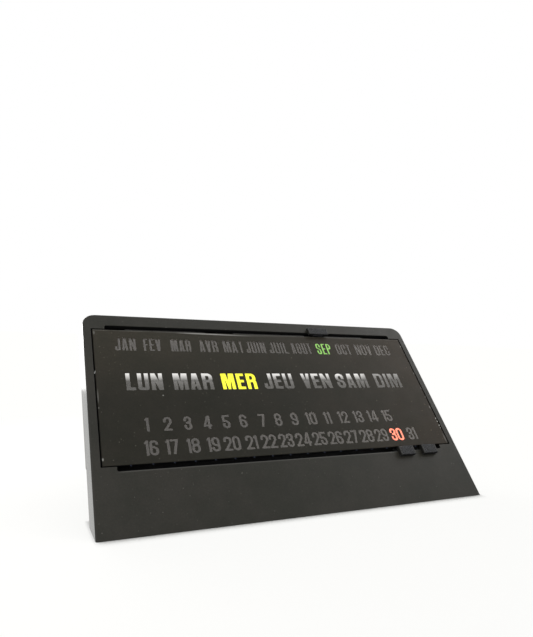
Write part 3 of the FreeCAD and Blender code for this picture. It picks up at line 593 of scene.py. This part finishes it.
def clear_print(name, clear, haze, tint):
    """Clear film through which the flags show, with a thin haze on its front. Painted light makes the
    haze brighter on the right, and fainter in the left half of the dates."""
    nodes = Nodes(name)
    across, up, out = nodes.face_place()
    cloud = nodes.ramp(nodes.noise(1.6, detail=3, rough=0.6), *MOST, 0.93, 1.06)
    # Painted light: fainter haze in the left half of the dates, brighter haze on the right
    dates_left = nodes.math("MAXIMUM", nodes.ramp(across, -60.0, 0.0, 0.68, 1.0),
                            nodes.ramp(up, DATES_TOP, DATES_TOP + 2.0))
    grade = nodes.product(cloud, nodes.ramp(across, 15.0, 50.0, 1.0, 1.4), dates_left)
    colour = nodes.mix(nodes.ramp(nodes.noise(9), 0.35, 0.65), haze + (1,), tint + (1,))
    nodes.shade({"Base Color": nodes.shaded(colour, grade), "Roughness": 0.4,
                 "Specular IOR Level": 0.3})
    share = nodes.ramp(out, -0.06, -0.03, 1.0, clear)
    through = nodes.add("BsdfTransparent")
    mixed = nodes.add("MixShader", {0: share, 1: nodes.shader.outputs[0], 2: through.outputs[0]})
    nodes.set(nodes.output, {"Surface": mixed.outputs[0]})
    return nodes


def lit_backing(nodes, low, high, end, strength, even=0.0):
    """Pale backing behind the see-through words, with a painted glow standing for the light on it. The
    painted light is even, and rises from low to high behind the weekdays' tops, less so behind the last
    weekday."""
    across, up, _ = nodes.face_place()
    # Painted light: brighter towards the weekdays' tops, fainter behind the last weekday
    bright = nodes.product(nodes.ramp(up, low, high, 0.0, strength), nodes.fall(up, end, end + STEP),
                           nodes.ramp(across, LAST_WEEKDAY, LAST_WEEKDAY + 5.5, 1.0, 0.28))
    plain = nodes.product(nodes.ramp(up, BACKING_LOW, BACKING_LOW + STEP),
                          nodes.ramp(up, BACKING_HIGH - STEP, BACKING_HIGH, even, 0.0))
    nodes.shade({"Emission Color": PALE_GLOW, "Emission Strength": nodes.math("ADD", bright, plain)})
    return nodes


def darkened(nodes, inside):
    """Paints shade: takes the light out of a material where the inside share is 1."""
    nodes.shade({"Base Color": nodes.mix(inside, nodes.joined("Base Color"), UNLIT),
                 "Roughness": nodes.math("MAXIMUM", nodes.joined("Roughness"), inside)})
    return nodes


def case_black():
    """The front shell: olive black outside, with painted shade within its slots and recess, left out in
    noisy spots in the gap at the film's right edge, and a painted highlight line on the lip below the
    lower slot."""
    nodes = moulded("case_black", (0.0195, 0.0195, 0.0140), (0.0270, 0.0250, 0.0195), rough=0.42,
                    level=0.28, polish=0.65)
    across, up, out = nodes.face_place()
    # Noisy spots in the gap at the film's right edge, where the painted shade is left out
    specks = nodes.product(nodes.ramp(across, RIGHT_GAP, RIGHT_GAP + STEP), nodes.ramp(up, 27.5, 28.5),
                         nodes.fall(up, 65.0, 66.5), nodes.ramp(nodes.noise(1.8), 0.40, 0.60, 0.2, 0.8))
    # Painted shade within the slots and recess
    inside = nodes.product(nodes.within(across, RECESS_HALF),
                           nodes.fall(out, INSIDE_DEPTH, SURFACE_DEPTH),
                           nodes.ramp(up, FOOT_WALL_TOP, FOOT_WALL_TOP + STEP),
                           nodes.fall(up, INNER_TOP, INNER_TOP + STEP),
                           nodes.math("SUBTRACT", 1.0, specks))
    # Painted highlight: a pale line on the lip below the lower slot
    lip = nodes.product(nodes.ramp(up, LIP_LOW, LIP_LOW + 0.25),
                        nodes.ramp(up, LIP_HIGH, LIP_HIGH + STEP, 0.5, 0.0),
                        nodes.ramp(out, INSIDE_DEPTH, SURFACE_DEPTH),
                        nodes.fall(across, 40.0, SLOT_HALF), nodes.ramp(across, -62.6, -61.0))
    lined = nodes.mix(lip, nodes.joined("Base Color"), (0.10, 0.10, 0.092, 1))
    nodes.shade({"Base Color": lined})
    return darkened(nodes, inside)


def plate_black():
    """The window plate. A thin line of it behind the weekdays glows with painted light, and the
    left-facing walls of its notches have painted cold glints."""
    nodes = moulded("plate_black", (0.003, 0.003, 0.0035), (0.005, 0.005, 0.0055), rough=0.7,
                    grain=0.3, level=0.15)
    # Painted light on a thin line behind the weekdays
    lit_backing(nodes, low=56.1, high=56.2, end=56.45, strength=1.0)
    across, up, out = nodes.face_place()
    # Painted glints on the notch walls that face left
    wall = nodes.product(nodes.fall(nodes.facing(ACROSS), -0.8, -0.4),
                         nodes.ramp(up, NOTCH_TOP, NOTCH_TOP + STEP, 0.05, 0.0),
                         nodes.within(across, SLOT_HALF), nodes.fall(out, -0.9, -0.7))
    nodes.shade({"Emission Color": nodes.mix(nodes.ramp(up, 24.0, 25.0), COLD_GLINT, PALE_GLOW),
                 "Emission Strength": nodes.math("ADD", nodes.joined("Emission Strength"), wall)})
    return nodes


def cover_black():
    """The back cover, whose inner face glows with painted light behind the weekdays' opening in the
    carrier, brighter towards the top of the opening.
    """
    nodes = moulded("cover_black", (0.02, 0.019, 0.017), (0.027, 0.025, 0.022), rough=0.5,
                    grain=0.35, depth=0.03, level=0.28, polish=0.65)
    across, up, out = nodes.face_place()
    inner = nodes.product(nodes.ramp(out, COVER_DEPTH, COVER_DEPTH + STEP),
                          nodes.within(across, CARRIER_HALF),
                          nodes.ramp(up, OPENING_LOW, OPENING_LOW + 0.5),
                          nodes.fall(up, OPENING_HIGH, OPENING_HIGH + STEP))
    # Painted light: the glow rises towards the top of the opening
    rise = nodes.ramp(up, 53.6, 57.6)
    glow = nodes.math("ADD", nodes.product(rise, rise, 0.10), BACKING_GLOW)
    nodes.shade({"Emission Color": PALE_GLOW, "Emission Strength": nodes.product(inner, glow)})
    return nodes


def slide_black():
    """The slides: painted glints on the rib edges, painted shade on the undersides, and a painted glow on
    the base behind the film.
    """
    nodes = moulded("slide_black", (0.0130, 0.0130, 0.0115), (0.0185, 0.0180, 0.0160), rough=0.36,
                    grain=0.2, depth=0.01, edge=0.08, level=0.35)
    sharp = nodes.add("NewGeometry").outputs["Normal"]
    # Painted glints along the edges
    edge = nodes.ramp(nodes.along(sharp, nodes.softened(0.12)), 0.70, 0.99, 0.9, 0.0)
    painted_glints = nodes.mix(edge, nodes.joined("Base Color"), (0.20, 0.21, 0.25, 1))
    # Painted shade on faces turned down
    below = nodes.fall(nodes.facing(FACE_UP), -0.8, -0.4)
    _, up, out = nodes.face_place()
    # Painted glow on the base behind the film
    glow = nodes.product(nodes.ramp(out, SLIDE_BASE_DEPTH, SLIDE_BASE_DEPTH + STEP, BACKING_GLOW, 0.0),
                         nodes.ramp(up, BACKING_LOW, BACKING_LOW + STEP),
                         nodes.fall(up, BACKING_HIGH - STEP, BACKING_HIGH))
    nodes.shade({"Base Color": nodes.mix(below, painted_glints, (0.002, 0.002, 0.0025, 1)),
                 "Emission Color": PALE_GLOW, "Emission Strength": glow})
    return nodes


def spot(nodes, across, up, x, y, wide, tall, strength):
    """A soft oval mark on the face."""
    aside = nodes.math("DIVIDE", nodes.math("SUBTRACT", across, x), wide)
    above = nodes.math("DIVIDE", nodes.math("SUBTRACT", up, y), tall)
    far = nodes.math("ADD", nodes.product(aside, aside), nodes.product(above, above))
    return nodes.ramp(far, 0.0, 1.0, strength, 0.0)


def film_marks(nodes, across, up):
    """Spots on the film's border that are partly chips and partly painted glints, two flecks, a painted
    glare on its bent top edge, and a painted highlight along its top edge.
    """
    marks = 0.0
    for mark in FILM_MARKS:
        marks = nodes.math("MAXIMUM", marks, spot(nodes, across, up, *mark))
    # Painted glare where the film's top edge bends
    middle = nodes.ramp(across, -40.0, -10.0, 73.8, 73.4)
    off = nodes.math("ABSOLUTE", nodes.math("SUBTRACT", up, middle))
    glare = nodes.product(nodes.ramp(off, 0.12, 0.36, GLARE_STRENGTH, 0.0),
                          nodes.ramp(across, -38.0, -30.0), nodes.ramp(across, -21.0, -5.0, 1.0, 0.1),
                          nodes.fall(across, -4.0, 10.0))
    # Painted highlight along the film's top edge
    rim = nodes.product(nodes.ramp(up, 73.5, 73.8, 0.0, 0.10),
                        nodes.ramp(nodes.noise(7), 0.35, 0.65, 0.3, 1.0))
    return nodes.math("MAXIMUM", marks, nodes.math("MAXIMUM", glare, rim))


def film_black():
    """The film's satin black print, with painted light that makes it lighter and browner on the right,
    and lighter above, most so on the left.
    """
    nodes = moulded("printed_film", (0.0150, 0.0148, 0.0105), (0.0195, 0.0180, 0.0135), rough=0.44,
                    grain=0.1, depth=0.006, edge=0.03, level=0.18)
    across, up, _ = nodes.face_place()
    # Painted light: lighter and browner towards the right
    side = nodes.mix(nodes.ramp(across, 5.0, 68.0), (1.03, 1.0, 0.92, 1), (1.4, 1.1, 0.85, 1))
    # Painted light: lighter above, most so on the left
    paler = nodes.mix(nodes.ramp(across, -65.0, 25.0), (1.8, 1.7, 1.65, 1), (1.2, 1.15, 1.1, 1))
    above = nodes.mix(nodes.ramp(up, 45.0, 72.0), WHITE, paler)
    base = nodes.tint(nodes.tint(nodes.joined("Base Color"), side), above)
    # Chips, flecks and painted highlights on the film
    worn_and_glinting = nodes.mix(film_marks(nodes, across, up), base, (0.62, 0.61, 0.58, 1))
    nodes.shade({"Base Color": worn_and_glinting})
    return nodes


def carrier_black():
    """The carrier, whose front is the backing of most words, with a painted glow on that backing."""
    nodes = moulded("carrier_black", (0.004, 0.004, 0.004), (0.006, 0.006, 0.006), rough=0.7, level=0.2)
    return lit_backing(nodes, low=55.0, high=58.3, end=61.0, strength=1.10, even=BACKING_GLOW)


def make_materials():
    """One material for each slot of the record."""
    return {
        "case_black": case_black(),
        "printed_film": film_black(),
        "plate_black": plate_black(),
        "carrier_black": carrier_black(),
        "strip_white": moulded("strip_white", (0.55, 0.55, 0.5), (0.6, 0.59, 0.54), rough=0.5),
        "slide_black": slide_black(),
        "flag_green": fluorescent("flag_green", (0.24, 0.58, 0.09), glow=0.85),
        "flag_yellow": fluorescent("flag_yellow", (0.95, 0.93, 0.005), glow=1.0),
        "flag_red": fluorescent("flag_red", (1.0, 0.22, 0.125), glow=1.6),
        "spring_steel": metal("spring_steel", (0.62, 0.61, 0.58), rough=0.3),
        "screw_steel": metal("screw_steel", (0.45, 0.45, 0.46), rough=0.34),
        "cover_black": cover_black(),
        "leg_black": moulded("leg_black", (0.02, 0.019, 0.017), (0.026, 0.024, 0.022), rough=0.48,
                             grain=0.35, depth=0.03),
    }


def dress_nodes(materials):
    """Gives each solid of the frame the material of its slot."""
    slots = {part["node"]: part["material_slot"] for part in frame["record"]["subparts"]}
    for name, piece in frame["nodes"].items():
        piece.data.materials.clear()
        piece.data.materials.append(materials[slots[name]].material)


def build_film(materials):
    """The film with its lettering cut through the print, and the clear layer in the letters."""
    places, groups = split_film()
    rim = {(round(point.x, RIM_DIGITS), round(point.y, RIM_DIGITS)) for point in film_border(0)}
    outer = {index for index, place in enumerate(places)
             if (round(place.x, RIM_DIGITS), round(place.y, RIM_DIGITS)) in rim}
    small_print = clear_print("clear_small", 0.75, (0.36, 0.325, 0.29), (0.33, 0.305, 0.28))
    large_print = clear_print("clear_large", 0.78, (0.36, 0.34, 0.31), (0.33, 0.315, 0.29))
    skin = slab_mesh("legend_film_print", places, groups["film"], 0.0, -FILM_THICKNESS, outer)
    small = slab_mesh("small_letters", places, groups["small"], CLEAR_FRONT, CLEAR_BACK)
    large = slab_mesh("weekday_letters", places, groups["large"], CLEAR_FRONT, CLEAR_BACK)
    for piece, look in ((skin, materials["printed_film"]), (small, small_print), (large, large_print)):
        piece.data.materials.append(look.material)
        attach(piece, "case")
    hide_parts("legend_film")


def add_floor():
    """White paper. Near the object it is partly lit, so it keeps a shadow, and a narrow contact
    shadow lies along the case's lower edges and at the leg."""
    bpy.ops.mesh.primitive_plane_add(size=FLOOR_SIZE, location=(0, 0, 0))
    floor = bpy.context.object
    floor.name = "floor"
    nodes = Nodes("floor_paper")
    open_sky = nodes.add("AmbientOcclusion", {"Distance": SHADOW_REACH * MM}, samples=12).outputs["AO"]
    aside = nodes.math("ABSOLUTE", nodes.add("SeparateXYZ", {0: nodes.place()}).outputs[0])
    beside = nodes.ramp(aside, (FACE_HALF - 1) * MM, (FACE_HALF + 1) * MM)
    clear = nodes.math("MAXIMUM", nodes.ramp(open_sky, 0.82, 0.975), beside)
    paper = nodes.mix(clear, (0.20, 0.20, 0.19, 1), (0.90, 0.90, 0.88, 1))
    nodes.shade({"Base Color": paper, "Roughness": 0.8, "Specular IOR Level": 0.2})
    path = nodes.add("LightPath")
    far = nodes.add("VectorMath", {0: nodes.place()}, operation="LENGTH").outputs["Value"]
    share = nodes.product(nodes.ramp(far, FLOOR_NEAR, FLOOR_FAR, FLOOR_WHITE, 1.0), clear)
    seen = nodes.math("MAXIMUM", nodes.product(path.outputs["Is Camera Ray"], share),
                      path.outputs["Is Glossy Ray"])
    bright = nodes.add("Emission", {"Color": (1.0, 1.0, 0.985, 1), "Strength": 1.0})
    mixed = nodes.add("MixShader", {0: seen, 1: nodes.shader.outputs[0], 2: bright.outputs[0]})
    nodes.set(nodes.output, {"Surface": mixed.outputs[0]})
    floor.data.materials.append(nodes.material)


def add_world():
    """A white surround, which lights the object less than the camera sees."""
    world = bpy.data.worlds.new("studio")
    bpy.context.scene.world = world
    world.use_nodes = True
    tree = world.node_tree
    background = tree.nodes["Background"]
    path = tree.nodes.new("ShaderNodeLightPath")
    either = tree.nodes.new("ShaderNodeMath")
    either.operation = "MAXIMUM"
    strength = tree.nodes.new("ShaderNodeMapRange")
    strength.inputs["To Min"].default_value = WORLD_LIGHT
    strength.inputs["To Max"].default_value = WORLD_SEEN
    tree.links.new(path.outputs["Is Camera Ray"], either.inputs[0])
    tree.links.new(path.outputs["Is Transmission Ray"], either.inputs[1])
    tree.links.new(either.outputs[0], strength.inputs["Value"])
    tree.links.new(strength.outputs["Result"], background.inputs["Strength"])
    background.inputs["Color"].default_value = WHITE


def add_lamp(name, place, size, power):
    """A soft box that is turned to the object and that the camera doesn't see."""
    data = bpy.data.lights.new(name, "AREA")
    data.shape = "RECTANGLE"
    data.size, data.size_y = size
    data.energy = power
    lamp = bpy.data.objects.new(name, data)
    lamp.location = place
    lamp.rotation_euler = (Vector(LAMP_TARGET) - Vector(place)).to_track_quat("-Z", "Y").to_euler()
    lamp.visible_camera = False
    bpy.context.scene.collection.objects.link(lamp)


def add_camera():
    data = bpy.data.cameras.new("camera")
    data.sensor_width = SENSOR
    data.lens = FOCAL_PIXELS * SENSOR / IMAGE_HEIGHT
    data.clip_start = CAMERA_NEAR
    camera = bpy.data.objects.new("camera", data)
    camera.location = CAMERA_PLACE
    turn = Euler((math.pi / 2 + CAMERA_PITCH, 0, -CAMERA_AZIMUTH)).to_matrix()
    camera.rotation_euler = (turn @ Matrix.Rotation(CAMERA_ROLL, 3, "Z")).to_euler()
    bpy.context.scene.collection.objects.link(camera)
    bpy.context.scene.camera = camera


slot_materials = make_materials()
dress_nodes(slot_materials)
build_film(slot_materials)
add_floor()
add_world()
for lamp_name, (lamp_place, lamp_size, lamp_power) in LAMPS.items():
    add_lamp(lamp_name, lamp_place, lamp_size, lamp_power)
add_camera()
bpy.context.scene.view_settings.view_transform = "Standard"
